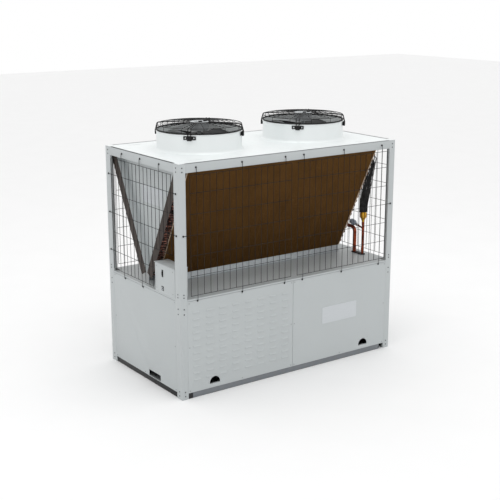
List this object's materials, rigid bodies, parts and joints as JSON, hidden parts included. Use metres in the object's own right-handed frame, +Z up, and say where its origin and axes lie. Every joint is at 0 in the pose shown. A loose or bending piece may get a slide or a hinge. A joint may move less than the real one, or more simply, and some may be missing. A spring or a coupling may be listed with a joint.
{
  "type": "air-cooled heat pump",
  "caption": "Air-cooled heat pump with a closed cabinet below, a V of finned coils behind wire guards, and fans in drawn rings on the deck.",
  "frame": {"origin": "on the floor at the middle of the footprint", "axes": "+X along the unit, the louvred front looks to -Y, +Z up"},
  "size_m": [2.2742, 1.2192, 2.173],
  "materials": {
    "cabinet_paint": "light grey powder coat, satin",
    "deck_paint": "near-white powder coat, satin",
    "galvanised": "galvanised sheet",
    "base_grey": "dark grey paint",
    "coil_fins": "brown coated fins",
    "coil_bends": "dark coated tube bends",
    "copper": "bare copper, lightly tarnished",
    "brass": "turned brass",
    "sleeve_black": "black foam sleeve",
    "black_wire": "black coated wire",
    "motor_grey": "grey painted casting",
    "black_plastic": "matt black moulding"
  },
  "bodies": {
    "cabinet": {"corner_post_front_left": "cabinet_paint", "corner_post_front_right": "cabinet_paint", "corner_post_back_left": "cabinet_paint", "corner_post_back_right": "cabinet_paint", "foot_brackets": "galvanised", "base_rails": "base_grey", "floor_pan": "galvanised", "front_panel_left": "cabinet_paint", "front_panel_right": "cabinet_paint", "back_panel_left": "cabinet_paint", "back_panel_right": "cabinet_paint", "end_panel_left": "cabinet_paint", "end_panel_right": "cabinet_paint", "cabinet_top": "cabinet_paint", "coil_ridge": "galvanised", "coil_front": "coil_fins", "coil_back": "coil_fins", "tube_sheets": "galvanised", "return_bends": "coil_bends", "coil_hangers": "galvanised", "v_panel_left": "cabinet_paint", "v_panel_right": "cabinet_paint", "suction_headers": "copper", "feeder_bundles": "sleeve_black", "distributors": "brass", "liquid_pipes": "copper", "suction_pipes": "copper", "filter_driers": "motor_grey", "pipe_grommets": "black_plastic", "bend_covers": "coil_bends", "top_rails": "cabinet_paint", "deck_left": "deck_paint", "deck_right": "deck_paint", "fan_guard_left": "black_wire", "fan_guard_right": "black_wire", "fan_motor_left": "motor_grey", "fan_motor_right": "motor_grey", "wire_guard_front_left": "black_wire", "wire_guard_front_right": "black_wire", "wire_guard_back_left": "black_wire", "wire_guard_back_right": "black_wire", "wire_guard_end_left": "black_wire", "wire_guard_end_right": "black_wire", "isolator_box": "cabinet_paint", "isolator_fittings": "black_plastic"},
    "fan_left": {"impeller_left": "black_plastic"},
    "fan_right": {"impeller_right": "black_plastic"}
  },
  "joints": [
    {"name": "fan_left_spin", "type": "hinge", "parent": "cabinet", "child": "fan_left", "pos_m": [-0.552, 0, 2.028], "axis": [0, 0, 1], "continuous": true},
    {"name": "fan_right_spin", "type": "hinge", "parent": "cabinet", "child": "fan_right", "pos_m": [0.552, 0, 2.028], "axis": [0, 0, 1], "continuous": true}
  ]
}
